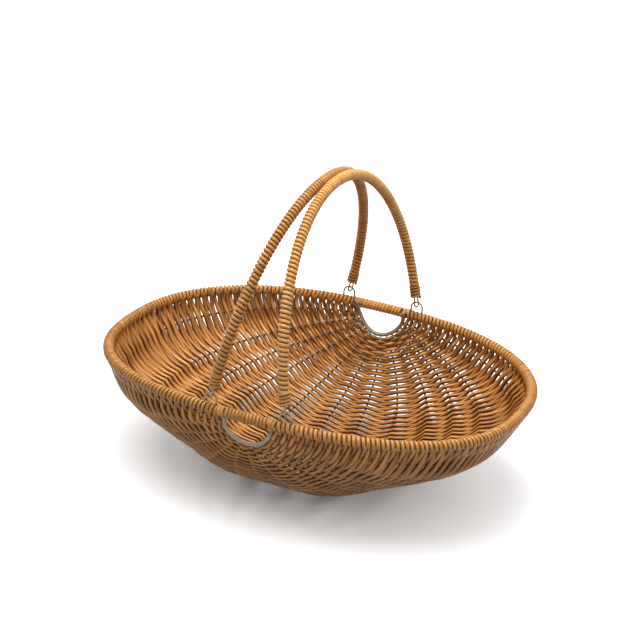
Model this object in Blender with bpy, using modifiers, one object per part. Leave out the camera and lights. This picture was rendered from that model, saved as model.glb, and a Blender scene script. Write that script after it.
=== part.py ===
"""Picnic basket: an oval rib basket with two folding hoop handles.

A steel hoop wound with cane carries the rim.  Two half rings hang under it at the middle of the
long sides and frame the hand holes.  Twelve steel ribs run from the front half ring, under the
basket, to the back one, and the woven wall lies round them.  Each handle is a wound steel arch whose
hairpin hooks are threaded on round-topped staples that stand on the rim, so it swings about them.

Units are metres, +Z is up, +X is the long axis.  The origin is on the floor under the middle.
"""
import math

import bmesh
import bpy
import numpy as np

# Rim and hull
rim_half_length = 0.240
rim_half_width = 0.181
rim_end_drop = 0.0067
rim_plan_exponent = 2.4
hull_depth = 0.131
keel_section_exponent = 1.95
hull_hollow_share = 0.11
hull_hollow_end_share = 0.69
hull_hollow_exponent = 1.2
rib_keel_shares = (0.056, 0.152, 0.216, 0.282, 0.372, 0.460)
rib_ring_margin_share = 0.06

# Wall of the woven hull, measured each way from its middle surface
wall_at_rib = 0.0044
wall_between_ribs = 0.0024
foot_flat_depth = 0.0008
foot_half_length = 0.042
foot_half_width = 0.045

# Slots between the strands, one between each two ribs in each row but the first and the last
slot_row_share = 0.24
slot_margin_share = 0.24
slot_margin_wall_share = 0.4

# Wires, bars and windings of the basket
rim_core_diameter = 0.0054
rim_diameter = 0.0126
half_ring_diameter = 0.005
half_ring_width = 0.0596
half_ring_depth = 0.0326
half_ring_end_rise = 0.003
half_ring_bend_drop = 0.018
bare_rib_length = 0.0015
rib_diameter = 0.0026

# Handles, hooks and staples
handle_height = 0.2064
handle_exponent = 2.08
handle_core_diameter = 0.005
handle_diameter = 0.0124
hook_wire_diameter = 0.002
hook_width = 0.0076
hook_neck_width = 0.0064
hook_depth = 0.006
hook_shoulder_height = 0.0015
hook_tail_length = 0.018
hook_turn = math.radians(30)
staple_wire_diameter = 0.0021
staple_spacing = 0.088
staple_width = 0.014
staple_axis_height = 0.0105
whipping_cane_diameter = 0.0032
whipping_loops = 4
whipping_start = 0.005

# Clearances
seat_gap = 0.0003
handle_gap = 0.0004
whipping_gap = 0.0006
ring_side_gap = 0.001
overrun = 0.004

# Numbers of facets
shell_rows = 14
rim_side_segments = 24
rim_middle_segments = 4
ring_segments = 14
handle_segments = 26
hook_bend_segments = 6
staple_segments = 8
whipping_points_per_loop = 14
samples = 240

# Worked out from the sizes above
rib_count = 2 * len(rib_keel_shares)
bay_count = rib_count + 1
rim_radius = rim_diameter / 2
half_ring_reach = half_ring_width / 2
rim_height = hull_depth + wall_at_rib - foot_flat_depth
weave_start = half_ring_diameter / 2 + seat_gap + bare_rib_length
staple_radius = staple_width / 2
staple_x = staple_spacing / 2
hinge_height = rim_height + staple_axis_height
hook_bend_radius = (hook_width - hook_wire_diameter) / 2
whipping_bore_radius = hook_neck_width / 2 + seat_gap
whipping_pitch = whipping_cane_diameter + whipping_gap
whipping_length = whipping_loops * whipping_pitch + whipping_cane_diameter
handle_lean = math.asin((staple_x - handle_diameter / 2 - handle_gap / 2) / handle_height)


def signed_power(value, exponent):
    """Power of the size of a value, with the value's own sign."""
    return np.sign(value) * np.abs(value) ** exponent


def even_points(line, count):
    """The same line as a number of evenly spaced points."""
    run = np.concatenate([[0], np.cumsum(np.linalg.norm(np.diff(line, axis=0), axis=1))])
    places = np.linspace(0, run[-1], count)
    return np.stack([np.interp(places, run, line[:, axis]) for axis in range(3)], axis=-1)


def lengthened(points, length):
    """A line made longer by a length at both ends, or shorter where the length is negative."""
    points = np.array(points, dtype=float)
    first, last = points[0] - points[1], points[-1] - points[-2]
    points[0] += first / np.linalg.norm(first) * length
    points[-1] += last / np.linalg.norm(last) * length
    return points


def rim_y(x):
    """Half width of the rim's middle line at x."""
    return rim_half_width * (1 - np.abs(x / rim_half_length) ** rim_plan_exponent) ** (
        1 / rim_plan_exponent)


def keel_radius(angle):
    """Distance from the rim's middle to the keel line, at an angle below the long axis.

    An ellipse of the rim's half length and the hull's depth, drawn in a little between its end and
    its flat bottom, where the real hull runs nearly straight.
    """
    angle = np.where(angle > math.pi / 2, math.pi - angle, angle)
    ellipse = 1 / np.hypot(np.cos(angle) / rim_half_length, np.sin(angle) / hull_depth)
    place = np.clip(angle / (hull_hollow_end_share * math.pi / 2), 0, 1)
    return ellipse * (1 - hull_hollow_share * np.sin(math.pi * place) ** hull_hollow_exponent)


def keel_line():
    """The keel's x and z from end to end, with the length run to each point."""
    angle = np.linspace(0, math.pi, samples)
    x, z = -keel_radius(angle) * np.cos(angle), -keel_radius(angle) * np.sin(angle)
    run = np.concatenate([[0], np.cumsum(np.hypot(np.diff(x), np.diff(z)))])
    return x, z, run


def hull_y(x, z):
    """Half width of the hull's middle surface at x and at z below the rim's plane."""
    angle = np.clip(np.arctan2(-z, -x), 0, math.pi)
    reach = np.clip(np.hypot(x, z) / keel_radius(angle), 0, 1)
    steepness = np.sin(angle) ** 2
    exponent = rim_plan_exponent * (1 - steepness) + keel_section_exponent * steepness
    return rim_half_width * (1 - reach ** exponent) ** (1 / exponent)


def basket_points(x, y, z):
    """Points in world space from x, y and the height above the rim's plane, whose ends droop."""
    height = rim_height + z - rim_end_drop * (x / rim_half_length) ** 2
    return np.stack([x, y, height], axis=-1)


def bay_edge_shares():
    """Shares of the keel at the rim and at each rib, from the left end to the right, which mirror."""
    return np.array([0, *rib_keel_shares, *(1 - share for share in reversed(rib_keel_shares)), 1])


def rib_line(place):
    """Evenly spaced points along the hull at a place counted in bays, from the front edge to the back.

    Seen along the width it is a straight line from the half ring to the keel.  Its width follows the
    hull, and the back half mirrors the front half.
    """
    ring_share = rib_ring_margin_share + (1 - 2 * rib_ring_margin_share) * place / bay_count
    ring_angle = math.pi * ring_share
    ring_x, ring_z = -half_ring_reach * math.cos(ring_angle), -half_ring_depth * math.sin(ring_angle)
    keel_x, keel_z, run = keel_line()
    keel_run = run[-1] * np.interp(place, range(bay_count + 1), bay_edge_shares())
    end_x, end_z = np.interp(keel_run, run, keel_x), np.interp(keel_run, run, keel_z)
    first = weave_start / math.hypot(end_x - ring_x, end_z - ring_z)
    place = np.sin(np.linspace(math.asin(first), math.pi / 2, samples))
    x, z = ring_x + (end_x - ring_x) * place, ring_z + (end_z - ring_z) * place
    front = basket_points(x, -hull_y(x, z), z)
    line = np.concatenate([front, front[-2::-1] * [1, -1, 1]])
    return even_points(line, shell_rows + 1)


def rim_side_line(side):
    """Middle line of the rim from the front half ring round one end to the back half ring."""
    first_x = half_ring_reach + half_ring_diameter / 2 + ring_side_gap
    start = math.acos((first_x / rim_half_length) ** (rim_plan_exponent / 2))
    angle = np.linspace(-start, start, samples)
    x = side * rim_half_length * np.cos(angle) ** (2 / rim_plan_exponent)
    y = rim_half_width * signed_power(np.sin(angle), 2 / rim_plan_exponent)
    return even_points(basket_points(x, y, 0 * x), rim_side_segments + 1)


def rim_middle_line(side):
    """Middle line of the rim above one hand hole, from left to right."""
    last_x = half_ring_reach - half_ring_diameter / 2 - ring_side_gap
    x = np.linspace(-last_x, last_x, rim_middle_segments + 1)
    return basket_points(x, side * rim_y(x), 0 * x)


def half_ring_line(side):
    """A hanging arc in the hull whose ends bend inwards and rise along the inside of the hoop."""
    angle = np.linspace(0, math.pi, ring_segments + 1)
    x, z = -half_ring_reach * np.cos(angle), -half_ring_depth * np.sin(angle)
    place = np.clip(1 + z / half_ring_bend_drop, 0, 1)
    inset = (rim_core_diameter / 2 + half_ring_diameter / 2 + seat_gap) * place ** 2 * (3 - 2 * place)
    points = basket_points(x, side * (hull_y(x, z) - inset), z)
    rise = [0, 0, half_ring_end_rise]
    return np.concatenate([[points[0] + rise], points, [points[-1] + rise]])


def staple_place(side_x, side_y):
    """Middle of a staple's arch, on the hinge line of its handle."""
    x = side_x * staple_x
    return np.array([x, side_y * rim_y(x), hinge_height])


def staple_line(side_x, side_y):
    """A round arch with two legs that end on the hoop."""
    angle = np.linspace(math.pi, 0, staple_segments + 1)
    x, z = staple_radius * np.cos(angle), staple_radius * np.sin(angle)
    arch = staple_place(side_x, side_y) + np.stack([x, 0 * x, z], axis=-1)
    ends = arch[[0, -1]]
    droop = rim_end_drop * (ends[:, 0] / rim_half_length) ** 2
    ends[:, 2] = rim_height - droop + rim_core_diameter / 2 + seat_gap
    return np.concatenate([ends[:1], arch, ends[1:]])


def leg_y():
    """Half of the distance between the two legs of a handle, which stand over the staples."""
    return staple_place(1, 1)[1]


def arch_line():
    """Middle line of the cane-wound arch in the handle's own frame, upright above its hinge line."""
    lowest = staple_radius + whipping_start + whipping_length + seat_gap
    start = math.asin((lowest / handle_height) ** (handle_exponent / 2))
    angle = np.linspace(start, math.pi - start, samples)
    y = -leg_y() * signed_power(np.cos(angle), 2 / handle_exponent)
    z = handle_height * np.sin(angle) ** (2 / handle_exponent)
    return even_points(np.stack([0 * y, y, z], axis=-1), handle_segments + 1)


def leg_frame(side):
    """Foot of a straight lower leg on the staple's wire, its direction, and the direction across it."""
    foot = np.array([0, side * leg_y(), staple_radius])
    top = arch_line()[0 if side < 0 else -1]
    along = (top - foot) / np.linalg.norm(top - foot)
    return foot, along, np.array([0, along[2], -along[1]])


def core_line():
    """The arch's line, run on down both legs to the tops of the hooks."""
    ends = []
    for side in (-1, 1):
        foot, along, _ = leg_frame(side)
        ends.append(foot + along * (hook_tail_length + seat_gap))
    return np.concatenate([ends[:1], arch_line(), ends[1:]])


def hook_line(side):
    """A hairpin down from the whipping, whose bend passes under the staple's wire.

    It is turned a little about the leg, and its two tails draw together where they enter the whipping.
    """
    foot, along, across = leg_frame(side)
    spread = math.sin(hook_turn) * np.array([1, 0, 0]) + math.cos(hook_turn) * side * across
    neck = (hook_neck_width - hook_wire_diameter) / 2
    angle = np.linspace(0, math.pi, hook_bend_segments + 1)
    climb = hook_bend_radius - hook_depth - hook_bend_radius * np.sin(angle)
    climb = np.concatenate([[hook_tail_length, whipping_start, hook_shoulder_height], climb,
                            [hook_shoulder_height, whipping_start, hook_tail_length]])
    apart = hook_bend_radius * np.cos(angle)
    apart = np.concatenate([[neck, neck, hook_bend_radius], apart, [-hook_bend_radius, -neck, -neck]])
    return foot + climb[:, None] * along + apart[:, None] * spread


def whipping_line(side):
    """Helix of cane that closes the winding of one leg."""
    angle = np.arange(whipping_loops * whipping_points_per_loop + 1) * 2 * math.pi / whipping_points_per_loop
    foot, along, across = leg_frame(side)
    radius = whipping_bore_radius + whipping_cane_diameter / 2
    climb = whipping_start + whipping_cane_diameter / 2 + whipping_pitch * angle / (2 * math.pi)
    axis_points = foot + climb[:, None] * along
    outward = np.cos(angle)[:, None] * np.array([1, 0, 0]) + np.sin(angle)[:, None] * across
    return axis_points + radius * outward


def least_self_gap(line):
    """Least clear distance between two turns of a whipping."""
    skip = whipping_points_per_loop // 2
    apart = [np.linalg.norm(line[index + skip:] - point, axis=1).min()
             for index, point in enumerate(line[:-skip])]
    return min(apart) - whipping_cane_diameter


def clear_scene():
    for item in list(bpy.data.objects):
        bpy.data.objects.remove(item, do_unlink=True)


def make_collection(name, parent):
    collection = bpy.data.collections.new(name)
    parent.children.link(collection)
    return collection


def make_material(name, colour, roughness, metallic):
    material = bpy.data.materials.new(name)
    material.use_nodes = True
    shader = material.node_tree.nodes["Principled BSDF"]
    shader.inputs["Base Color"].default_value = (*colour, 1)
    shader.inputs["Roughness"].default_value = roughness
    shader.inputs["Metallic"].default_value = metallic
    material.diffuse_color = (*colour, 1)
    return material


def make_empty(name, collection, place=(0, 0, 0), lean=0):
    """A body's origin: upright, or leaning about the width axis."""
    empty = bpy.data.objects.new(name, None)
    empty.location = place
    empty.rotation_euler = (0, lean, 0)
    collection.objects.link(empty)
    return empty


def tube(name, points, radius, collection, sides=8, closed=False, twist="MINIMUM"):
    """A round wire or bar along a line of points, with filled ends."""
    curve = bpy.data.curves.new(name, "CURVE")
    curve.dimensions = "3D"
    curve.twist_mode = twist
    curve.bevel_depth = radius
    curve.bevel_resolution = (sides - 4) // 2
    curve.use_fill_caps = not closed
    spline = curve.splines.new("POLY")
    spline.points.add(len(points) - 1)
    for point, place in zip(spline.points, points):
        point.co = (*(float(value) for value in place), 1)
    spline.use_cyclic_u = closed
    item = bpy.data.objects.new(name, curve)
    collection.objects.link(item)
    return item


def as_mesh(item):
    """The same tube as a mesh object with its caps welded on."""
    bpy.context.view_layer.update()
    evaluated = item.evaluated_get(bpy.context.evaluated_depsgraph_get())
    mesh = bpy.data.meshes.new_from_object(evaluated)
    work = bmesh.new()
    work.from_mesh(mesh)
    bmesh.ops.remove_doubles(work, verts=work.verts, dist=seat_gap / 30)
    work.to_mesh(mesh)
    work.free()
    name, collection, matrix = item.name, item.users_collection[0], item.matrix_world.copy()
    bpy.data.objects.remove(item, do_unlink=True)
    result = bpy.data.objects.new(name, mesh)
    result.matrix_world = matrix
    collection.objects.link(result)
    return result


def winding_tube(name, points, radius, core_radius, collection, sides, twist="MINIMUM"):
    """A pipe of wound cane that is open at both ends and fits round a core."""
    curve = tube(name, points, radius, collection, sides=sides, twist=twist)
    curve.data.use_fill_caps = False
    winding = as_mesh(curve)
    wall = winding.modifiers.new("wall", "SOLIDIFY")
    wall.thickness = radius * math.cos(math.pi / sides) - core_radius - seat_gap
    wall.offset = -1
    wall.use_even_offset = True
    return winding


def tube_cutter(name, points, radius, collection):
    """A tube-shaped cutter."""
    return as_cutter(as_mesh(tube(name, points, radius, collection, sides=6)))


def as_cutter(item):
    item.hide_render = True
    item.display_type = "WIRE"
    return item


def cut(item, cutter):
    """Take the shape of a cutter, or of every cutter in a collection, out of a piece."""
    modifier = item.modifiers.new("cut by " + cutter.name, "BOOLEAN")
    modifier.operation = "DIFFERENCE"
    modifier.solver = "EXACT"
    if isinstance(cutter, bpy.types.Collection):
        modifier.operand_type = "COLLECTION"
        modifier.collection = cutter
    else:
        modifier.object = cutter


def finish(item, material, body):
    """Give a piece its material, its shading and its body."""
    item.data.materials.clear()
    item.data.materials.append(material)
    if item.type == "MESH":
        item.data.shade_smooth()
        item.data.set_sharp_from_angle(angle=math.radians(40))
    item.parent = body


def build_rim(parts, cutters, steel, cane, body):
    """The steel hoop and the four stretches of cane wound round it."""
    left, right = rim_side_line(-1), rim_side_line(1)
    front, back = rim_middle_line(-1), rim_middle_line(1)
    loop = np.concatenate([left, back, right[::-1], front[::-1]])
    hoop = tube("rim_hoop", loop, rim_core_diameter / 2, parts, sides=6, closed=True, twist="Z_UP")
    finish(hoop, steel, body)
    stretches = {"left": left, "right": right, "front": front, "back": back}
    for name, line in stretches.items():
        winding = winding_tube(name + "_rim_winding", line, rim_radius, rim_core_diameter / 2, parts,
                               sides=10, twist="Z_UP")
        if name in ("left", "right"):
            cut(winding, staple_holes(-1 if name == "left" else 1, cutters))
        finish(winding, cane, body)


def staple_holes(side_x, cutters):
    """Cutters for the holes through which the staples' legs pass the winding."""
    holes = make_collection("staple holes", cutters)
    for side_y in (-1, 1):
        line = staple_line(side_x, side_y)
        for low, high in ((line[0], line[1]), (line[-1], line[-2])):
            low = low - [0, 0, rim_core_diameter / 2]
            tube_cutter("staple hole", [low, high], staple_wire_diameter / 2 + seat_gap, holes)
    return holes


def build_staples(parts, steel, body):
    """Round-topped wire staples whose legs pass the winding and stand on the hoop."""
    for side_x, x_name in ((-1, "left"), (1, "right")):
        for side_y, y_name in ((-1, "front"), (1, "back")):
            staple = tube(f"{y_name}_{x_name}_staple", staple_line(side_x, side_y),
                          staple_wire_diameter / 2, parts, sides=6)
            finish(staple, steel, body)


def build_ribs(parts, steel, body):
    """Half rings round the hand holes and the ribs that run between them."""
    for side, name in ((-1, "front_half_ring"), (1, "back_half_ring")):
        finish(tube(name, half_ring_line(side), half_ring_diameter / 2, parts), steel, body)
    for number in range(1, rib_count + 1):
        line = lengthened(rib_line(number), bare_rib_length)
        finish(tube(f"rib_{number:02d}", line, rib_diameter / 2, parts, sides=6), steel, body)


def weave_columns():
    """Places at which the hull has a column of points, counted in bays from rim to rim.

    Each bay between two ribs has a column at its first rib and one at each end of its slots.  The
    first and the last bay are cut short by the rim.
    """
    rim_share = (rim_radius + seat_gap) / keel_line()[2][-1]
    rim_place = rim_share / rib_keel_shares[0]
    edges = np.array([rim_place, *range(1, bay_count), bay_count - rim_place])
    in_bay_shares = np.array([0, slot_margin_share, 1 - slot_margin_share])
    columns = edges[:-1, None] + in_bay_shares * np.diff(edges)[:, None]
    return np.append(columns.reshape(-1), edges[-1])


def weave_rows():
    """Where the hull has a row of points along a rib line, counted in the line's own steps.

    The rows mirror front to back.  Each step but the first and the last has one row more, which
    leaves room for a slot at its outer end.
    """
    half = shell_rows // 2
    front = [step + share for step in range(1, half) for share in (0, slot_row_share)]
    return np.array([0, *front, half, *(shell_rows - place for place in reversed(front)), shell_rows])


def is_slot(column, row):
    """Whether the patch at this column and row of the hull's grid is a slot."""
    in_front = row < shell_rows - 1
    bay, patch = divmod(column, 3)
    return patch == 1 and 0 < bay < bay_count - 1 and 0 < row < 2 * shell_rows - 3 and row % 2 == in_front


def wall_swell(place, point):
    """How far the wall swells from its least to its full thickness at a place in the hull.

    It is full over a rib and under the foot, least at the rim, and in between beside a slot.
    """
    if not 0.5 < place < bay_count - 0.5:
        swell = 0
    elif abs(place - round(place)) < slot_margin_share / 2:
        swell = 1
    else:
        swell = slot_margin_wall_share
    foot = 2 - 2 * (point[0] / foot_half_length) ** 4 - 2 * (point[1] / foot_half_width) ** 4
    return max(swell, min(1, foot))


def hull_surface(name, collection):
    """The hull's middle surface as a grid with slots, with a vertex group that swells its wall."""
    columns, rows = weave_columns(), weave_rows()
    lines = [rib_line(place) for place in columns]
    grid = np.stack([[np.interp(rows, range(len(line)), line[:, axis]) for axis in range(3)]
                     for line in lines]).transpose(0, 2, 1)
    mesh = bpy.data.meshes.new(name)
    hull = bpy.data.objects.new(name, mesh)
    collection.objects.link(hull)
    work = bmesh.new()
    column_count, row_count = len(columns) - 1, len(rows) - 1
    bmesh.ops.create_grid(work, x_segments=column_count, y_segments=row_count, size=1)
    slots = []
    for face in work.faces:
        middle = face.calc_center_median()
        column, row = int((middle.x + 1) / 2 * column_count), int((middle.y + 1) / 2 * row_count)
        if is_slot(column, row):
            slots.append(face)
    bmesh.ops.delete(work, geom=slots, context="FACES")
    swells = []
    for vertex in work.verts:
        column = round((vertex.co.x + 1) / 2 * column_count)
        row = round((vertex.co.y + 1) / 2 * row_count)
        vertex.co = grid[column, row]
        swells.append(wall_swell(columns[column], vertex.co))
    work.to_mesh(mesh)
    work.free()
    group = hull.vertex_groups.new(name="swell")
    for index, swell in enumerate(swells):
        group.add([index], swell, "REPLACE")
    return hull


def build_hull(parts, cutters, cane, body):
    """The woven hull: one wall with slots, bulged over the ribs that run in it, and flat underfoot."""
    hull = hull_surface("woven_hull", parts)
    wall = hull.modifiers.new("wall", "SOLIDIFY")
    wall.thickness = 2 * wall_at_rib
    wall.offset = 0
    wall.vertex_group = "swell"
    wall.thickness_vertex_group = wall_between_ribs / wall_at_rib
    tunnels = make_collection("rib tunnels", cutters)
    for number in range(1, rib_count + 1):
        line = lengthened(rib_line(number), overrun)
        tube_cutter(f"tunnel {number}", line, rib_diameter / 2 + seat_gap, tunnels)
    cut(hull, tunnels)
    cut(hull, floor_block(cutters))
    finish(hull, cane, body)


def floor_block(cutters):
    """A block whose top is the floor."""
    bpy.ops.mesh.primitive_cube_add(size=1)
    block = bpy.context.object
    block.name = "floor"
    block.scale = (2 * rim_half_length, 2 * rim_half_width, overrun)
    block.location = (0, 0, -overrun / 2)
    bpy.ops.object.transform_apply(location=True, rotation=False, scale=True)
    for collection in list(block.users_collection):
        collection.objects.unlink(block)
    cutters.objects.link(block)
    return as_cutter(block)


def build_handle(side_x, name, parts, steel, cane):
    """One handle: its steel arch, the cane wound round it, two hooks and the whippings above them."""
    hinge = make_empty(name + "_hinge", parts, (side_x * staple_x, 0, hinge_height),
                       -side_x * handle_lean)
    finish(tube(name + "_core", core_line(), handle_core_diameter / 2, parts, sides=6), steel, hinge)
    winding = winding_tube(name + "_winding", arch_line(), handle_diameter / 2, handle_core_diameter / 2,
                           parts, sides=8)
    finish(winding, cane, hinge)
    for side_y, y_name in ((-1, "front"), (1, "back")):
        hook = tube(f"{name}_{y_name}_hook", hook_line(side_y), hook_wire_diameter / 2, parts, sides=6)
        finish(hook, steel, hinge)
        line = whipping_line(side_y)
        print(f"{name} {y_name} whipping: least gap to itself {least_self_gap(line) * 1000:.2f} mm")
        whipping = tube(f"{name}_{y_name}_whipping", line, whipping_cane_diameter / 2, parts, sides=6)
        finish(whipping, cane, hinge)


def main():
    clear_scene()
    scene_root = bpy.context.scene.collection
    parts = make_collection("picnic_basket", scene_root)
    cutters = make_collection("cutters", scene_root)
    steel = make_material("khaki_steel", (0.26, 0.22, 0.15), 0.45, 0.4)
    cane = make_material("honey_cane", (0.50, 0.21, 0.065), 0.42, 0.0)
    basket = make_empty("basket", parts)
    build_rim(parts, cutters, steel, cane, basket)
    build_staples(parts, steel, basket)
    build_ribs(parts, steel, basket)
    build_hull(parts, cutters, cane, basket)
    build_handle(-1, "left_handle", parts, steel, cane)
    build_handle(1, "right_handle", parts, steel, cane)


main()
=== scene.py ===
"""Looks of the picnic basket: round cane woven over steel ribs, a wound rim and two wound handles.

Every line of cane and wire is worked out with numpy from the basket's own sizes, in metres, and then
carried as a tube.  +Z is up, +X is the long axis and the camera stands in front, a little to the right.
"""

import math

import bpy
import numpy as np
from mathutils import Matrix, Vector


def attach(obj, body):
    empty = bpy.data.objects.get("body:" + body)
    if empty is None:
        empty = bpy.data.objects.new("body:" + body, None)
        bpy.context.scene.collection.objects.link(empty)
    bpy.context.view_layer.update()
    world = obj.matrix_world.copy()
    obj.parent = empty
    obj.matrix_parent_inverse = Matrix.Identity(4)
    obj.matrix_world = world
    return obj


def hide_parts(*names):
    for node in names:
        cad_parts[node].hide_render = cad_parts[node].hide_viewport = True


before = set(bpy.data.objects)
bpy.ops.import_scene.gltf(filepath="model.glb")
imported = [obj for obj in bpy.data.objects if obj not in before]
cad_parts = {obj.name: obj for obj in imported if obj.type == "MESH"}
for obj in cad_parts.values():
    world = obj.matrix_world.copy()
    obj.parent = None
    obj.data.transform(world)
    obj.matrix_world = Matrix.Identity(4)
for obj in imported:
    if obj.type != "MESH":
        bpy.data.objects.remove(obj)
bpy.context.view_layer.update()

# Rim, hull and half rings, as in the solids
rim_half_length = 0.240
rim_half_width = 0.181
rim_end_drop = 0.0067
rim_plan_exponent = 2.4
hull_depth = 0.131
keel_section_exponent = 1.95
hull_hollow_share = 0.11
hull_hollow_end_share = 0.69
hull_hollow_exponent = 1.2
rib_keel_shares = (0.056, 0.152, 0.216, 0.282, 0.372, 0.460)
rib_ring_margin_share = 0.06
rim_height = 0.1346
rim_radius = 0.0063
rim_core_radius = 0.0027
half_ring_diameter = 0.005
half_ring_reach = 0.0298
half_ring_depth = 0.0326
half_ring_end_rise = 0.003
half_ring_bend_drop = 0.018
ring_side_gap = 0.001
rib_diameter = 0.0026
seat_gap = 0.0003

# Handles, hooks and staples, as in the solids
handle_height = 0.2064
handle_exponent = 2.08
handle_diameter = 0.0124
handle_gap = 0.0004
hinge_height = 0.1451
staple_x = 0.044
staple_radius = 0.007
staple_wire_diameter = 0.0021
hook_wire_diameter = 0.002
hook_width = 0.0076
hook_neck_width = 0.0064
hook_depth = 0.006
hook_shoulder_height = 0.0015
hook_tail_length = 0.018
hook_turn = math.radians(30)
whipping_cane_diameter = 0.0032
whipping_loops = 4
whipping_start = 0.005
whipping_pitch = 0.0038
handle_lean = math.asin((staple_x - handle_diameter / 2 - handle_gap / 2) / handle_height)

# Strands of the weave
rib_count = 2 * len(rib_keel_shares)
bay_count = rib_count + 1
row_count = 124
weave_start = 0.0006
strand_diameter = 0.0043
strand_room = 0.0038
least_room_share, most_room_share = 0.75, 1.35
room_exponent = 0.8
strand_swing = 0.0025
strand_swing_at_rim = 0.0042
swing_sharpness = 0.96
straightness_share = 0.2
bay_bulge_share = 0.09
rim_slimming_share = 0.2
rim_slimming_exponent = 0.4
floor_ease = 0.0007

# Packed rows at both ends of the basket
end_bays = 4.0
end_ramp_exponent = 0.7
end_middle_share = 0.45
end_spread_share = 0.25
end_growth_share = 0.2
end_swing_loss_share = 0.45

# Windings
wrap_width = 0.0045
wrap_height = 0.0039
side_wraps = row_count
middle_wraps = 13
handle_wraps = 115
handle_looseness = 0.4
winding_overlap = 0.0028
whipping_width_share = 1.1
lashing_start, lashing_end = math.radians(-160), math.radians(520)

# Wander of cane laid by hand, and the waves of it along a strand or the turns to a wave of a winding
least_wave_share = 0.3
row_wander_share, row_waves = 0.16, (1.7, 4.3, 9.1)
swing_wander_share, swing_waves = 0.10, (3.1, 7.7)
girth_wander_share, girth_waves = 0.05, (2.3, 6.1)
girth_spread_share = 0.04
wrap_wander, wrap_wander_turns = 0.22, (9.3, 3.7, 1.9)
wrap_swell_share, wrap_swell_turns = 0.03, (5.1, 1.3)
grain_start_reach = 9.0

# Points along the curves, sides of the tubes, and a direction that no rib runs along
samples = 400
columns_per_bay = 12
half_ring_samples = 60
bend_samples = 17
rib_points = 90
half_ring_points = 90
hook_points = 70
lashing_points = 110
points_per_wrap = 20
points_per_whipping_loop = 28
easing_rounds = 3
strand_sides = 8
whipping_sides = 10
wire_sides = 12
rib_rise = (1, 0, 0.2)

# How far a rib stays free of painted shade from the middle of the rim's long side, and that shade's edge
unshaded_rib_reach = 0.0375
painted_shade_edge = 0.003

left_and_right = ((-1, "left"), (1, "right"))
front_and_back = ((-1, "front"), (1, "back"))
rng = np.random.default_rng(11)


# Lines of the rim, the hull and the ribs


def unit(vectors):
    """Each vector divided by its own length."""
    return vectors / np.linalg.norm(vectors, axis=-1, keepdims=True)


def squared_up(direction, ahead):
    """A direction at each point of a line, less its share along the line, as a unit vector."""
    direction = np.broadcast_to(direction, ahead.shape)
    return unit(direction - (direction * ahead).sum(axis=-1, keepdims=True) * ahead)


def signed_power(value, exponent):
    """Power of the size of a value, with the value's own sign."""
    return np.sign(value) * np.abs(value) ** exponent


def along_line(line, shares):
    """Points at shares of a line's length: each coordinate read off against the length run so far."""
    run = np.concatenate([[0], np.cumsum(np.linalg.norm(np.diff(line, axis=0), axis=1))])
    return np.stack([np.interp(shares * run[-1], run, line[:, axis]) for axis in range(3)], axis=-1)


def rounded(line, count):
    """A line with its corners eased: even points, each averaged with its neighbours, a few times over."""
    points = along_line(line, np.linspace(0, 1, count))
    for _ in range(easing_rounds):
        points[1:-1] = (points[:-2] + 2 * points[1:-1] + points[2:]) / 4
    return points


def rim_y(x):
    """Half width of the rim: half width times (1 - |x / half length| ^ n) ^ (1 / n)."""
    return rim_half_width * (1 - np.abs(x / rim_half_length) ** rim_plan_exponent) ** (
        1 / rim_plan_exponent)


def keel_radius(angle):
    """Distance from the rim's middle to the keel: an ellipse drawn in by a sine bump near its ends."""
    angle = np.where(angle > math.pi / 2, math.pi - angle, angle)
    ellipse = 1 / np.hypot(np.cos(angle) / rim_half_length, np.sin(angle) / hull_depth)
    place = np.clip(angle / (hull_hollow_end_share * math.pi / 2), 0, 1)
    return ellipse * (1 - hull_hollow_share * np.sin(math.pi * place) ** hull_hollow_exponent)


def hull_y(x, z):
    """Half width of the hull: a superellipse of the share of the keel's distance that x and z reach."""
    angle = np.clip(np.arctan2(-z, -x), 0, math.pi)
    reach = np.clip(np.hypot(x, z) / keel_radius(angle), 0, 1)
    steepness = np.sin(angle) ** 2
    exponent = rim_plan_exponent * (1 - steepness) + keel_section_exponent * steepness
    return rim_half_width * (1 - reach ** exponent) ** (1 / exponent)


def basket_points(x, y, z):
    """Points from x, y and the height above the rim's plane, whose ends droop with x squared."""
    return np.stack([x, y, rim_height + z - rim_end_drop * (x / rim_half_length) ** 2], axis=-1)


def bay_edge_shares():
    """Shares of the keel at the rim and at each rib, from the left end to the right, which mirror."""
    return np.array([0, *rib_keel_shares, *(1 - share for share in reversed(rib_keel_shares)), 1])


def rib_line(place, start):
    """A rib at a place counted in bays, from a start that is measured out from the half ring's line.

    In x and z it is straight from the half ring to the keel, its width is the hull's, and y mirrors.
    """
    ring_share = rib_ring_margin_share + (1 - 2 * rib_ring_margin_share) * place / bay_count
    ring_angle = math.pi * ring_share
    ring_x, ring_z = -half_ring_reach * math.cos(ring_angle), -half_ring_depth * math.sin(ring_angle)
    angle = np.linspace(0, math.pi, samples)
    keel_x, keel_z = -keel_radius(angle) * np.cos(angle), -keel_radius(angle) * np.sin(angle)
    run = np.concatenate([[0], np.cumsum(np.hypot(np.diff(keel_x), np.diff(keel_z)))])
    keel_run = run[-1] * np.interp(place, range(bay_count + 1), bay_edge_shares())
    end_x, end_z = np.interp(keel_run, run, keel_x), np.interp(keel_run, run, keel_z)
    first_share = start / math.hypot(end_x - ring_x, end_z - ring_z)
    share = np.sin(np.linspace(math.asin(first_share), math.pi / 2, samples))
    x, z = ring_x + (end_x - ring_x) * share, ring_z + (end_z - ring_z) * share
    front = basket_points(x, -hull_y(x, z), z)
    return np.concatenate([front, front[-2::-1] * [1, -1, 1]])


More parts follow.
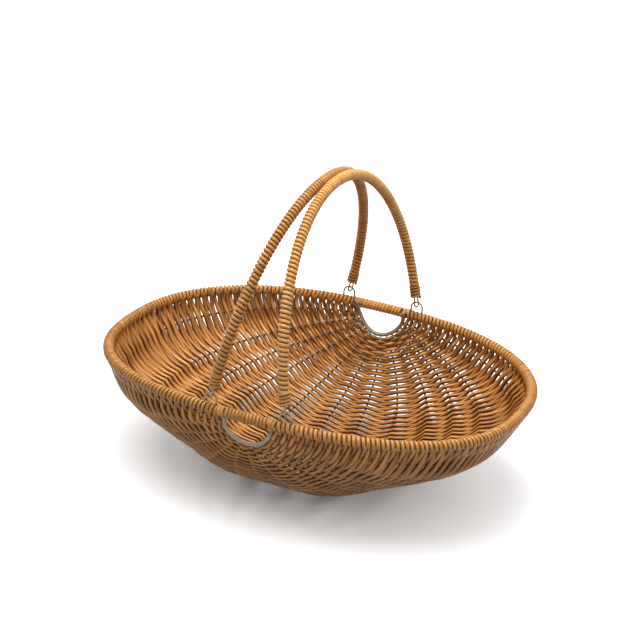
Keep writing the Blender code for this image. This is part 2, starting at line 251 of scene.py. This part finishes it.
def rim_side_line(side):
    """Half of the rim as a superellipse, from the front half ring round one end to the back one."""
    first_x = half_ring_reach + half_ring_diameter / 2 + ring_side_gap
    start = math.acos((first_x / rim_half_length) ** (rim_plan_exponent / 2))
    angle = np.linspace(-start, start, samples)
    x = side * rim_half_length * np.cos(angle) ** (2 / rim_plan_exponent)
    y = rim_half_width * signed_power(np.sin(angle), 2 / rim_plan_exponent)
    return basket_points(x, y, 0 * x)


def rim_middle_line(side):
    """The rim above one hand hole, from left to right."""
    last_x = half_ring_reach - half_ring_diameter / 2 - ring_side_gap
    x = np.linspace(-last_x, last_x, samples)
    return basket_points(x, side * rim_y(x), 0 * x)


def half_ring_line(side):
    """A hanging half ellipse in the hull whose two ends bend inwards and rise inside the rim.

    The bend is a smooth step of the height: place squared times (3 - 2 times place).
    """
    angle = np.linspace(0, math.pi, half_ring_samples)
    x, z = -half_ring_reach * np.cos(angle), -half_ring_depth * np.sin(angle)
    place = np.clip(1 + z / half_ring_bend_drop, 0, 1)
    inset = (rim_core_radius + half_ring_diameter / 2 + seat_gap) * place ** 2 * (3 - 2 * place)
    points = basket_points(x, side * (hull_y(x, z) - inset), z)
    rise = [0, 0, half_ring_end_rise]
    return np.concatenate([[points[0] + rise], points, [points[-1] + rise]])


# Lines of the staples and the handles


def staple_line(side_x, side_y):
    """Two legs up from the hoop and a round arch between them."""
    place = np.array([side_x * staple_x, side_y * rim_y(staple_x), hinge_height])
    angle = np.linspace(math.pi, 0, bend_samples)
    x, z = staple_radius * np.cos(angle), staple_radius * np.sin(angle)
    arch = place + np.stack([x, 0 * x, z], axis=-1)
    ends = arch[[0, -1]]
    ends[:, 2] = rim_height - rim_end_drop * (ends[:, 0] / rim_half_length) ** 2 + rim_core_radius
    return np.concatenate([ends[:1], arch, ends[1:]])


def arch_line():
    """A handle's arch in its own upright frame: a half superellipse.

    Its ends lie inside the whippings, an overlap below their tops.
    """
    lowest = (staple_radius + whipping_start + whipping_loops * whipping_pitch + whipping_cane_diameter
              - winding_overlap)
    start = math.asin((lowest / handle_height) ** (handle_exponent / 2))
    angle = np.linspace(start, math.pi - start, samples)
    y = -rim_y(staple_x) * signed_power(np.cos(angle), 2 / handle_exponent)
    z = handle_height * np.sin(angle) ** (2 / handle_exponent)
    return np.stack([0 * y, y, z], axis=-1)


def leg_frame(side):
    """Foot of a straight lower leg on the staple's wire, its direction, and the direction across it."""
    foot = np.array([0, side * rim_y(staple_x), staple_radius])
    top = arch_line()[0 if side < 0 else -1]
    along = (top - foot) / np.linalg.norm(top - foot)
    return foot, along, np.array([0, along[2], -along[1]])


def hook_line(side):
    """A hairpin: down from the whipping, half a turn under the staple's wire, and up again."""
    foot, along, across = leg_frame(side)
    spread = math.sin(hook_turn) * np.array([1, 0, 0]) + math.cos(hook_turn) * side * across
    neck = (hook_neck_width - hook_wire_diameter) / 2
    bend = (hook_width - hook_wire_diameter) / 2
    angle = np.linspace(0, math.pi, bend_samples)
    climb = np.concatenate([[hook_tail_length, whipping_start, hook_shoulder_height],
                            bend - hook_depth - bend * np.sin(angle),
                            [hook_shoulder_height, whipping_start, hook_tail_length]])
    apart = np.concatenate([[neck, neck, bend], bend * np.cos(angle), [-bend, -neck, -neck]])
    return foot + climb[:, None] * along + apart[:, None] * spread


def whipping_line(side):
    """A helix of slanted turns up a handle's leg, and at each point the direction out from the leg."""
    foot, along, across = leg_frame(side)
    share = np.linspace(0, 1, whipping_loops * points_per_whipping_loop + 1)
    angle = 2 * math.pi * whipping_loops * share
    climb = whipping_start + whipping_cane_diameter / 2 + whipping_loops * whipping_pitch * share
    outward = np.cos(angle)[:, None] * np.array([1.0, 0, 0]) + np.sin(angle)[:, None] * across
    radius = hook_neck_width / 2 + seat_gap + whipping_cane_diameter / 2
    return foot + climb[:, None] * along + radius * outward, outward


def handle_place(side_x):
    """Where a handle's own upright frame stands: leaned about the hinge line through its staples."""
    return (Matrix.Translation((side_x * staple_x, 0, hinge_height))
            @ Matrix.Rotation(-side_x * handle_lean, 4, "Y"))


def turned(matrix, directions):
    """Directions turned by a matrix, without its shift."""
    return directions @ np.array(matrix)[:3, :3].T


def placed(matrix, points):
    """Points carried by a matrix."""
    return turned(matrix, points) + np.array(matrix)[:3, 3]


# Tubes


def drift(shape, waves, reach):
    """Slow random wander: sines of random phase and a few waves along each row, within a reach."""
    place = np.linspace(0, 1, shape[1])
    total = np.zeros(shape)
    for wave in waves:
        phase = rng.uniform(0, 2 * math.pi, (shape[0], 1))
        size = rng.uniform(least_wave_share, 1, (shape[0], 1))
        total += size * np.sin(2 * math.pi * wave * place + phase)
    return reach * total / len(waves)


def tubes(name, lines, rise, width, height, sides=strand_sides, girth=1.0):
    """Oval tubes with flat ends along one line, or along several at once.

    At each point the section is the line's place, plus the girth times (cosine times half the width
    across, plus sine times half the height along the rise, which is squared up to the line).  The
    attribute grain holds each point's run along its line from a random start, its cosine and its sine,
    and tint holds one random tone for each tube.
    """
    lines = np.array(lines, dtype=float)
    if lines.ndim == 2:
        lines = lines[None]
    count, length = lines.shape[:2]
    ahead = unit(np.gradient(lines, axis=1))
    rise = squared_up(rise, ahead)
    across = np.cross(ahead, rise)
    turn = 2 * math.pi * np.arange(sides) / sides
    girth = np.broadcast_to(girth, (count, length))[:, :, None, None]
    ring = (np.cos(turn)[:, None] * across[:, :, None] * width / 2
            + np.sin(turn)[:, None] * rise[:, :, None] * height / 2)
    points = lines[:, :, None] + girth * ring

    index = np.arange(count * length * sides).reshape(count, length, sides)
    here, there = index[:, :-1], index[:, 1:]
    quads = np.stack([here, there, np.roll(there, -1, axis=2), np.roll(here, -1, axis=2)], axis=-1)
    caps = np.concatenate([index[:, 0], index[:, -1, ::-1]])
    corners = np.concatenate([quads.reshape(-1), caps.reshape(-1)])
    totals = np.concatenate([np.full(quads.size // 4, 4), np.full(len(caps), sides)])

    mesh = bpy.data.meshes.new(name)
    mesh.vertices.add(count * length * sides)
    mesh.vertices.foreach_set("co", points.reshape(-1).astype(np.float32))
    mesh.loops.add(len(corners))
    mesh.loops.foreach_set("vertex_index", corners.astype(np.int32))
    mesh.polygons.add(len(totals))
    starts = np.concatenate([[0], np.cumsum(totals)[:-1]])
    mesh.polygons.foreach_set("loop_start", starts.astype(np.int32))
    mesh.update(calc_edges=True)
    mesh.validate()

    run = np.cumsum(np.linalg.norm(np.diff(lines, axis=1, prepend=lines[:, :1]), axis=-1), axis=1)
    run = run + rng.uniform(0, grain_start_reach, (count, 1))
    grain = np.stack(np.broadcast_arrays(run[:, :, None], np.cos(turn), np.sin(turn)), axis=-1)
    layer = mesh.attributes.new("grain", "FLOAT_VECTOR", "POINT")
    layer.data.foreach_set("vector", grain.reshape(-1).astype(np.float32))
    tint = np.broadcast_to(rng.uniform(0, 1, (count, 1, 1)), (count, length, sides))
    layer = mesh.attributes.new("tint", "FLOAT", "POINT")
    layer.data.foreach_set("value", tint.reshape(-1).astype(np.float32))
    mesh.shade_smooth()
    piece = bpy.data.objects.new(name, mesh)
    bpy.context.scene.collection.objects.link(piece)
    return piece


def dress(piece, finish, slot, body, *nodes):
    """Give a piece its finish, the body it rides on, and the solids it stands for."""
    piece.data.materials.append(finish)
    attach(piece, body)
    if nodes:
        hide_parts(*nodes)
    return piece


def dress_core(node):
    """Steel for a solid that stays as it is, inside its winding."""
    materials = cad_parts[node].data.materials
    materials.clear()
    materials.append(steel)


# Finishes


def add_node(tree, kind, links=(), **inputs):
    """A shader node with its socket values, and links from other nodes' outputs."""
    node = tree.nodes.new(kind)
    for socket, value in inputs.items():
        node.inputs[socket.replace("_", " ")].default_value = value
    for socket, output in links:
        tree.links.new(output, node.inputs[socket])
    return node


def add_math(tree, operation, *values, clamp=False):
    """Output of a maths node whose inputs are other nodes' outputs or numbers."""
    node = tree.nodes.new("ShaderNodeMath")
    node.operation = operation
    node.use_clamp = clamp
    for socket, value in zip(node.inputs, values):
        if isinstance(value, bpy.types.NodeSocket):
            tree.links.new(value, socket)
        else:
            socket.default_value = value
    return node.outputs[0]


def add_noise(tree, place, scale, detail, roughness):
    """Output of a noise node at a place, with a scale for each of the place's three coordinates."""
    scaled = add_node(tree, "ShaderNodeMapping", [("Vector", place)], Scale=scale)
    noise = add_node(tree, "ShaderNodeTexNoise", [("Vector", scaled.outputs["Vector"])],
                     Scale=1.0, Detail=detail, Roughness=roughness)
    return noise.outputs["Fac"]


def new_finish(name):
    """A new material, its node tree and its shader."""
    material = bpy.data.materials.new(name)
    material.use_nodes = True
    return material, material.node_tree, material.node_tree.nodes["Principled BSDF"]


def colour_by(tree, shader, tone, stops):
    """The shader's colour from a tone, by a ramp with a colour at each stop."""
    ramp = add_node(tree, "ShaderNodeValToRGB", [("Fac", tone)])
    ends = ramp.color_ramp.elements
    for end, (position, colour) in zip((ends[0], ends[1]), (stops[0], stops[-1])):
        end.position, end.color = position, (*colour, 1)
    for position, colour in stops[1:-1]:
        ends.new(position).color = (*colour, 1)
    tree.links.new(ramp.outputs["Color"], shader.inputs["Base Color"])


def surface_by(tree, shader, patches, roughness, relief, strength, distance):
    """The shader's roughness between two bounds by patches, and a bump by a relief."""
    rough = add_node(tree, "ShaderNodeMapRange", [("Value", patches)],
                     To_Min=roughness[0], To_Max=roughness[1])
    tree.links.new(rough.outputs["Result"], shader.inputs["Roughness"])
    bump = add_node(tree, "ShaderNodeBump", [("Height", relief)], Strength=strength, Distance=distance)
    tree.links.new(bump.outputs["Normal"], shader.inputs["Normal"])


def cane_finish(name, deep, body, pale, roughness, painted_groove_shade):
    """Round cane: long fibres and streaks, a tone of its own for each strand, and darker sides.

    The sides are where strands and turns touch, and the darkening there is painted shade: the tone
    falls by the fourth power of the cosine round the strand.  The shine is warm, under a thin clear coat.
    """
    material, tree, shader = new_finish(name)
    grain = tree.nodes.new("ShaderNodeAttribute")
    grain.attribute_name = "grain"
    tint = tree.nodes.new("ShaderNodeAttribute")
    tint.attribute_name = "tint"
    place = grain.outputs["Vector"]
    streak = add_noise(tree, place, scale=(28, 0.9, 0.9), detail=3.0, roughness=0.6)
    fibre = add_noise(tree, place, scale=(60, 7, 7), detail=4.0, roughness=0.65)

    tint_share, streak_share, fibre_share = 0.3, 0.75, 0.25
    least_roughness, most_roughness = roughness - 0.08, roughness + 0.12
    tone = add_math(tree, "MULTIPLY", tint.outputs["Fac"], tint_share)
    tone = add_math(tree, "MULTIPLY_ADD", streak, streak_share, tone)
    tone = add_math(tree, "MULTIPLY_ADD", fibre, fibre_share, tone)
    split = add_node(tree, "ShaderNodeSeparateXYZ", [("Vector", place)])
    # painted shade: the sides of each strand, where neighbours touch, are darkened by the fourth power of
    # the cosine round it
    side = add_math(tree, "POWER", add_math(tree, "ABSOLUTE", split.outputs["Y"]), 4.0)
    tone = add_math(tree, "MULTIPLY_ADD", side, -painted_groove_shade, tone)
    colour_by(tree, shader, tone, [(0.28, deep), (0.65, body), (0.94, pale)])
    surface_by(tree, shader, fibre, (least_roughness, most_roughness), fibre, strength=0.35,
               distance=0.00025)
    shader.inputs["Specular IOR Level"].default_value = 0.5
    shader.inputs["Specular Tint"].default_value = (1.0, 0.72, 0.42, 1)
    shader.inputs["Coat Weight"].default_value = 0.06
    shader.inputs["Coat Roughness"].default_value = 0.20
    return material


def steel_finish(name, colour, worn, painted_shade_colour=None):
    """Painted wire: a soft mottle, a fine orange-peel bump and slightly rubbed patches.

    With a painted shade colour, the wire is darker everywhere but near the hand holes, by its
    distance from the middle of the rim's long sides: painted shade for a rib inside the weave.
    """
    material, tree, shader = new_finish(name)
    place = tree.nodes.new("ShaderNodeTexCoord").outputs["Object"]
    mottle = add_node(tree, "ShaderNodeTexNoise", [("Vector", place)], Scale=220.0, Detail=4.0,
                      Roughness=0.6).outputs["Fac"]
    peel = add_node(tree, "ShaderNodeTexNoise", [("Vector", place)], Scale=1500.0,
                    Detail=2.0).outputs["Fac"]
    mottle_share = 0.5
    tone = add_math(tree, "MULTIPLY", mottle, mottle_share)
    stops = [(0.175, colour), (0.375, worn)]
    if painted_shade_colour:
        # painted shade: a rib is darker where it runs inside the weave, away from the hand holes
        split = add_node(tree, "ShaderNodeSeparateXYZ", [("Vector", place)])
        far = add_math(tree, "MULTIPLY", split.outputs["X"], split.outputs["X"])
        side = add_math(tree, "ABSOLUTE", split.outputs["Y"])
        for value, middle in ((side, rim_half_width), (split.outputs["Z"], rim_height)):
            away = add_math(tree, "SUBTRACT", value, middle)
            far = add_math(tree, "MULTIPLY_ADD", away, away, far)
        painted_shade_share = add_node(tree, "ShaderNodeMapRange", [("Value", add_math(tree, "SQRT", far))],
                           From_Min=unshaded_rib_reach, From_Max=unshaded_rib_reach + painted_shade_edge)
        tone = add_math(tree, "ADD", tone, painted_shade_share.outputs["Result"])
        stops.append((0.95, painted_shade_colour))
    colour_by(tree, shader, tone, stops)
    surface_by(tree, shader, mottle, (0.34, 0.55), peel, strength=0.25, distance=0.0001)
    shader.inputs["Metallic"].default_value = 0.3
    return material


# Both canes get painted shade on the sides of each strand or turn, where neighbours touch.
weave_cane = cane_finish("woven_cane_finish", deep=(0.10, 0.028, 0.004), body=(0.40, 0.160, 0.037),
                         pale=(0.62, 0.31, 0.095), roughness=0.31, painted_groove_shade=0.48)
rim_cane = cane_finish("wound_cane_finish", deep=(0.14, 0.046, 0.007), body=(0.46, 0.208, 0.050),
                       pale=(0.68, 0.385, 0.130), roughness=0.29, painted_groove_shade=0.32)
khaki, rubbed_khaki = (0.225, 0.175, 0.11), (0.34, 0.275, 0.18)
steel = steel_finish("khaki_steel_finish", khaki, rubbed_khaki)
# The ribs get painted shade where they run inside the weave.
shaded_rib_steel = steel_finish("rib_finish_with_painted_shade", khaki, rubbed_khaki, painted_shade_colour=(0.095, 0.062, 0.034))


# Weave


def bays_from_rim(places):
    """How many bays each place is from the nearer end of the basket's rim."""
    return np.minimum(places, bay_count - places)


def weave_grid(rows):
    """Columns of points in the hull, at given shares of the rib lines, each at a place counted in bays.

    Between two ribs a point is drawn towards the straight line from rib to rib, as taut cane lies.
    Towards the rim the columns are drawn onto the rim's own line, by the square of the share of the
    first bay that is left.
    """
    places = np.linspace(0, bay_count, bay_count * columns_per_bay + 1)
    start = half_ring_diameter / 2 + seat_gap + weave_start
    grid = np.stack([along_line(rib_line(place, start), rows[:, column])
                     for column, place in enumerate(places)], axis=1)
    bay = np.minimum(np.arange(len(places)) // columns_per_bay, bay_count - 1)
    share = (places - bay)[:, None]
    ribs = grid[:, ::columns_per_bay]
    taut = ribs[:, bay] * (1 - share) + ribs[:, bay + 1] * share
    grid = grid + straightness_share * (bays_from_rim(places) >= 1)[:, None] * (taut - grid)
    for side, edge in ((-1, 0), (1, -1)):
        pull = along_line(rim_side_line(side), rows[:, edge]) - grid[:, edge]
        left = np.clip(1 - (places if side < 0 else bay_count - places), 0, 1) ** 2
        grid = grid + left[:, None] * pull[:, None]
    return places, grid


def packed_share(rows, places):
    """How closely the rows are packed: a bell curve of the row, times a ramp down from each end."""
    ramp = np.clip(1 - bays_from_rim(places) / end_bays, 0, 1) ** end_ramp_exponent
    return ramp * np.exp(-((rows - end_middle_share) / end_spread_share) ** 2)


def bay_bulge(smooth, places):
    """Outward bulge of the strands between two ribs: a parabola, by a share of the ribs' distance."""
    distance = np.linalg.norm(np.diff(smooth[:, ::columns_per_bay], axis=1), axis=-1)
    distance = np.repeat(distance, columns_per_bay, axis=1)
    distance = np.concatenate([distance, distance[:, -1:]], axis=1)
    share = places - np.minimum(places.astype(int), bay_count - 1)
    inner = bays_from_rim(places) >= 1
    return bay_bulge_share * distance * 4 * share * (1 - share) * inner


def build_weave():
    """Plain weave: each row swings out and in, and turns over at every rib.

    A point is the hull's, plus the outward normal times (the swing times a wave, with the sign changed
    from row to row, plus the bay's bulge), and is kept a strand's radius off the floor.  The wave is
    nearly a triangle with rounded tips, as taut cane bends: the arcsine of a share of cos(pi times the
    place in bays).  The swing grows towards the rim, and packed rows swing less.  The strands are
    thicker where the rows have more room and where they are packed, and thinner towards the rim.
    """
    even = (np.arange(row_count) + 0.5) / row_count
    even = np.repeat(even[:, None], bay_count * columns_per_bay + 1, axis=1)
    places, smooth = weave_grid(even)
    outward = unit(np.cross(np.gradient(smooth, axis=0), np.gradient(smooth, axis=1)))
    rows = even + drift(even.shape, row_waves, row_wander_share / row_count)
    _, points = weave_grid(rows)
    near_rim = np.clip(1 - bays_from_rim(places), 0, 1) ** 2
    packed = packed_share(even, places)

    swing = strand_swing + (strand_swing_at_rim - strand_swing) * near_rim
    swing = swing * (1 + drift(even.shape, swing_waves, swing_wander_share))
    swing = swing * (1 - end_swing_loss_share * packed)
    sign = np.where(np.arange(row_count) % 2, -1, 1)[:, None]
    wave = np.arcsin(swing_sharpness * np.cos(math.pi * places)) / math.asin(swing_sharpness)
    lines = points + outward * (sign * swing * wave + bay_bulge(smooth, places))[..., None]
    lowest = strand_diameter / 2
    lines[..., 2] = (lines[..., 2] + lowest + np.hypot(lines[..., 2] - lowest, floor_ease)) / 2

    girth = 1 + drift(even.shape, girth_waves, girth_wander_share)
    girth = girth + rng.uniform(-girth_spread_share, girth_spread_share, (row_count, 1))
    room = np.linalg.norm(np.gradient(smooth, axis=0), axis=-1) / strand_room
    girth = girth * np.clip(room, least_room_share, most_room_share) ** room_exponent
    girth = girth * (1 + end_growth_share * packed)
    girth = girth * (1 - rim_slimming_share * near_rim ** rim_slimming_exponent * (1 - packed))
    half = row_count // 2
    for name, strands in (("front", slice(0, half)), ("back", slice(half, None))):
        piece = tubes(f"weave_{name}_half", lines[strands], outward[strands], strand_diameter,
                      strand_diameter, girth=girth[strands])
        dress(piece, weave_cane, "woven_cane", "basket", "woven_hull")


def build_ribs():
    """Rib wires along the same lines as the solids', from bar to bar."""
    for number in range(1, rib_count + 1):
        line = along_line(rib_line(number, half_ring_diameter / 2), np.linspace(0, 1, rib_points))
        piece = tubes(f"rib_wire_{number:02d}", line, rib_rise, rib_diameter, rib_diameter)
        dress(piece, shaded_rib_steel, "khaki_steel", "basket", f"rib_{number:02d}")


# Windings


def wound(name, line, level, turns, centre_radius, hand, looseness=1.0):
    """Cane wound round a line.

    The angle runs once round for each turn, with a little wander.  The place is the line's, plus the
    radius, which swells a little here and there, times (cosine times the direction out, plus sine
    times the direction up).
    """
    count = int(turns * points_per_wrap) + 1
    share = np.linspace(0, 1, count)
    centre = along_line(line, share)
    ahead = unit(np.gradient(centre, axis=0))
    level = squared_up(level, ahead)
    out = np.cross(ahead, level)
    waves = [turns / wander_turns for wander_turns in wrap_wander_turns]
    wander = drift((1, count), waves, wrap_wander * looseness)[0]
    angle = hand * (2 * math.pi * turns * share + wander)
    round_line = np.cos(angle)[:, None] * out + np.sin(angle)[:, None] * level
    waves = [turns / swell_turns for swell_turns in wrap_swell_turns]
    radius = centre_radius * (1 + drift((1, count), waves, wrap_swell_share * looseness)[0])
    return tubes(name, centre + radius[:, None] * round_line, round_line, wrap_width, wrap_height)


def build_rim():
    """The wound rim: one run of cane for each side and for the rim above each hand hole."""
    radius = rim_radius - wrap_height / 2
    for side, name in left_and_right:
        piece = wound(f"{name}_rim_wraps", rim_side_line(side), (0, 0, 1), side_wraps, radius, -side)
        dress(piece, rim_cane, "wound_cane", "basket", f"{name}_rim_winding")
    for side, name in front_and_back:
        piece = wound(f"{name}_rim_wraps", rim_middle_line(side), (0, 0, 1), middle_wraps, radius, side)
        dress(piece, rim_cane, "wound_cane", "basket", f"{name}_rim_winding")
    dress_core("rim_hoop")


def build_half_rings():
    """The bars of the hand holes, with their bends eased."""
    for side, name in front_and_back:
        line = rounded(half_ring_line(side), half_ring_points)
        piece = tubes(f"{name}_hand_hole_ring", line, (0, 1, 0), half_ring_diameter, half_ring_diameter,
                      sides=wire_sides)
        dress(piece, steel, "khaki_steel", "basket", f"{name}_half_ring")


def build_ring_lashings():
    """Nearly two turns of cane round the hoop at each end of the bars, which lie against it inside."""
    angle = np.linspace(lashing_start, lashing_end, lashing_points)
    travel = (half_ring_diameter + 2 * ring_side_gap) * np.linspace(-0.5, 0.5, lashing_points)
    radius = rim_radius - wrap_height / 2
    for side_y, y_name in front_and_back:
        for side_x, x_name in left_and_right:
            x = side_x * half_ring_reach + side_x * travel
            y = side_y * (rim_y(x) + radius * np.cos(angle))
            line = basket_points(x, y, radius * np.sin(angle))
            rise = np.stack([0 * angle, side_y * np.cos(angle), np.sin(angle)], axis=-1)
            piece = tubes(f"{y_name}_{x_name}_ring_lashing", line, rise, wrap_width, wrap_height)
            dress(piece, rim_cane, "wound_cane", "basket")


# Staples and handles


def build_staples():
    """Four wire staples, each along the solid's own line."""
    for side_x, x_name in left_and_right:
        for side_y, y_name in front_and_back:
            piece = tubes(f"{y_name}_{x_name}_staple_wire", staple_line(side_x, side_y), (0, 1, 0),
                          staple_wire_diameter, staple_wire_diameter, sides=wire_sides)
            dress(piece, steel, "khaki_steel", "basket", f"{y_name}_{x_name}_staple")


def build_handle(side_x, name):
    """One handle: wound arch, a whipping at each foot and the hairpin hooks under them."""
    place = handle_place(side_x)
    crosswise = np.array([1.0, 0, 0])
    radius = (handle_diameter - wrap_height) / 2
    piece = wound(f"{name}_wraps", placed(place, arch_line()), turned(place, crosswise), handle_wraps,
                  radius, 1, looseness=handle_looseness)
    dress(piece, rim_cane, "wound_cane", name, f"{name}_winding")
    for side_y, y_name in front_and_back:
        _, along, _ = leg_frame(side_y)
        line = rounded(hook_line(side_y), hook_points)
        piece = tubes(f"{name}_{y_name}_hook_wire", placed(place, line), np.cross(along, crosswise),
                      hook_wire_diameter, hook_wire_diameter, sides=wire_sides)
        dress(piece, steel, "khaki_steel", name, f"{name}_{y_name}_hook")

        line, outward = whipping_line(side_y)
        piece = tubes(f"{name}_{y_name}_whipping_turns", placed(place, line), turned(place, outward),
                      whipping_cane_diameter * whipping_width_share, whipping_cane_diameter,
                      sides=whipping_sides)
        dress(piece, rim_cane, "wound_cane", name, f"{name}_{y_name}_whipping")
    dress_core(f"{name}_core")


build_weave()
build_ribs()
build_rim()
build_half_rings()
build_ring_lashings()
build_staples()
build_handle(-1, "left_handle")
build_handle(1, "right_handle")


# Studio


def seen_directly(tree):
    """One where the camera, a reflection or a clear view looks at this, and nought for other light."""
    path = tree.nodes.new("ShaderNodeLightPath")
    total = add_math(tree, "ADD", path.outputs["Is Camera Ray"], path.outputs["Is Glossy Ray"])
    return add_math(tree, "ADD", total, path.outputs["Is Transmission Ray"], clamp=True)


def build_world(low_fill, high_fill):
    """White to the eye, and for what it lights a softer fill that grows with the height in the sky."""
    world = bpy.data.worlds.new("studio")
    world.use_nodes = True
    tree = world.node_tree
    background = tree.nodes["Background"]
    background.inputs["Color"].default_value = (1, 1, 1, 1)
    sky = tree.nodes.new("ShaderNodeTexCoord")
    height = add_node(tree, "ShaderNodeSeparateXYZ", [("Vector", sky.outputs["Generated"])])
    fill = add_node(tree, "ShaderNodeMapRange", [("Value", height.outputs["Z"])],
                    From_Min=0.1, From_Max=0.9, To_Min=low_fill, To_Max=high_fill)
    strength = add_node(tree, "ShaderNodeMapRange", [("Value", seen_directly(tree)),
                                                     ("To Min", fill.outputs["Result"])], To_Max=1.0)
    tree.links.new(strength.outputs["Result"], background.inputs["Strength"])
    bpy.context.scene.world = world


def build_floor(white, bounce, glow_past_painted_shadow, far_glow):
    """A wide pale floor: part lit, so that it keeps the shadow, and part glowing for the eye alone.

    The glow is least under the middle of the basket, a painted shadow there that darkens the floor
    beyond the lamps' own shadow, and grows in two ramps with the distance from it, which fades that
    painted shadow out and makes up for the lamp light that falls off far out.  The light that the
    floor throws back onto the basket is less than its look would give.
    """
    half = 9.0
    mesh = bpy.data.meshes.new("floor")
    mesh.from_pydata([(-half, -half, 0), (half, -half, 0), (half, half, 0), (-half, half, 0)], [],
                     [(0, 1, 2, 3)])
    floor = bpy.data.objects.new("floor", mesh)
    bpy.context.scene.collection.objects.link(floor)
    material, tree, shader = new_finish("pale_floor")
    albedo = add_node(tree, "ShaderNodeMapRange", [("Value", seen_directly(tree))],
                      To_Min=bounce, To_Max=white)
    tree.links.new(albedo.outputs["Result"], shader.inputs["Base Color"])
    shader.inputs["Roughness"].default_value = 0.9
    shader.inputs["Specular IOR Level"].default_value = 0.1
    shader.inputs["Emission Color"].default_value = (1, 1, 1, 1)
    place = tree.nodes.new("ShaderNodeTexCoord")
    distance = add_node(tree, "ShaderNodeVectorMath", [("Vector", place.outputs["Object"])])
    distance.operation = "LENGTH"
    # painted shadow: the glow drops to a quarter under the middle of the basket, and the second ramp
    # fades it out
    painted_shadow_ramp = add_node(tree, "ShaderNodeMapRange", [("Value", distance.outputs["Value"])],
                    From_Min=0.085, From_Max=0.15, To_Min=glow_past_painted_shadow / 4, To_Max=glow_past_painted_shadow)
    glow = add_node(tree, "ShaderNodeMapRange", [("Value", distance.outputs["Value"]),
                                                 ("To Min", painted_shadow_ramp.outputs["Result"])],
                    From_Min=0.16, From_Max=0.42, To_Max=far_glow)
    strength = add_math(tree, "MULTIPLY", seen_directly(tree), glow.outputs["Result"])
    tree.links.new(strength, shader.inputs["Emission Strength"])
    mesh.materials.append(material)


def add_lamp(name, place, size, power):
    """A square soft lamp that faces the basket."""
    data = bpy.data.lights.new(name, "AREA")
    data.size = size
    data.energy = power
    lamp = bpy.data.objects.new(name, data)
    lamp.location = place
    basket_middle = Vector((0, 0, 0.1))
    lamp.rotation_euler = (basket_middle - Vector(place)).to_track_quat("-Z", "Y").to_euler()
    bpy.context.scene.collection.objects.link(lamp)


def build_camera():
    """The photograph's view: its angles about the rim's middle, its distance and its offsets."""
    around, above, roll = 0.403, 0.397, 0.077
    distance, right_offset, up_offset = 2.245, 0.0007, 0.0438
    back = np.array([math.sin(around) * math.cos(above), -math.cos(around) * math.cos(above),
                     math.sin(above)])
    right = np.array([math.cos(around), math.sin(around), 0])
    up = np.cross(back, right)
    right, up = (right * math.cos(roll) + up * math.sin(roll),
                 up * math.cos(roll) - right * math.sin(roll))
    place = np.array([0, 0, rim_height]) + right_offset * right + up_offset * up + distance * back
    data = bpy.data.cameras.new("camera")
    data.lens = 112.5
    data.sensor_width = 36
    camera = bpy.data.objects.new("camera", data)
    turn = np.eye(4)
    turn[:3, 0], turn[:3, 1], turn[:3, 2], turn[:3, 3] = right, up, back, place
    camera.matrix_world = Matrix(turn.tolist())
    bpy.context.scene.collection.objects.link(camera)
    bpy.context.scene.camera = camera


build_world(low_fill=0.10, high_fill=0.75)
# The floor's glow dips under the basket as a painted shadow.
build_floor(white=0.80, bounce=0.15, glow_past_painted_shadow=0.29, far_glow=0.62)
add_lamp("key", (-0.35, -0.25, 2.1), size=1.9, power=46)
add_lamp("spot", (-0.15, 0.25, 2.1), size=0.2, power=17)
add_lamp("side", (1.8, 0.6, 1.8), size=1.6, power=9)
add_lamp("low", (1.3, -1.5, 0.7), size=1.0, power=7)
build_camera()
bpy.context.scene.view_settings.view_transform = "Standard"
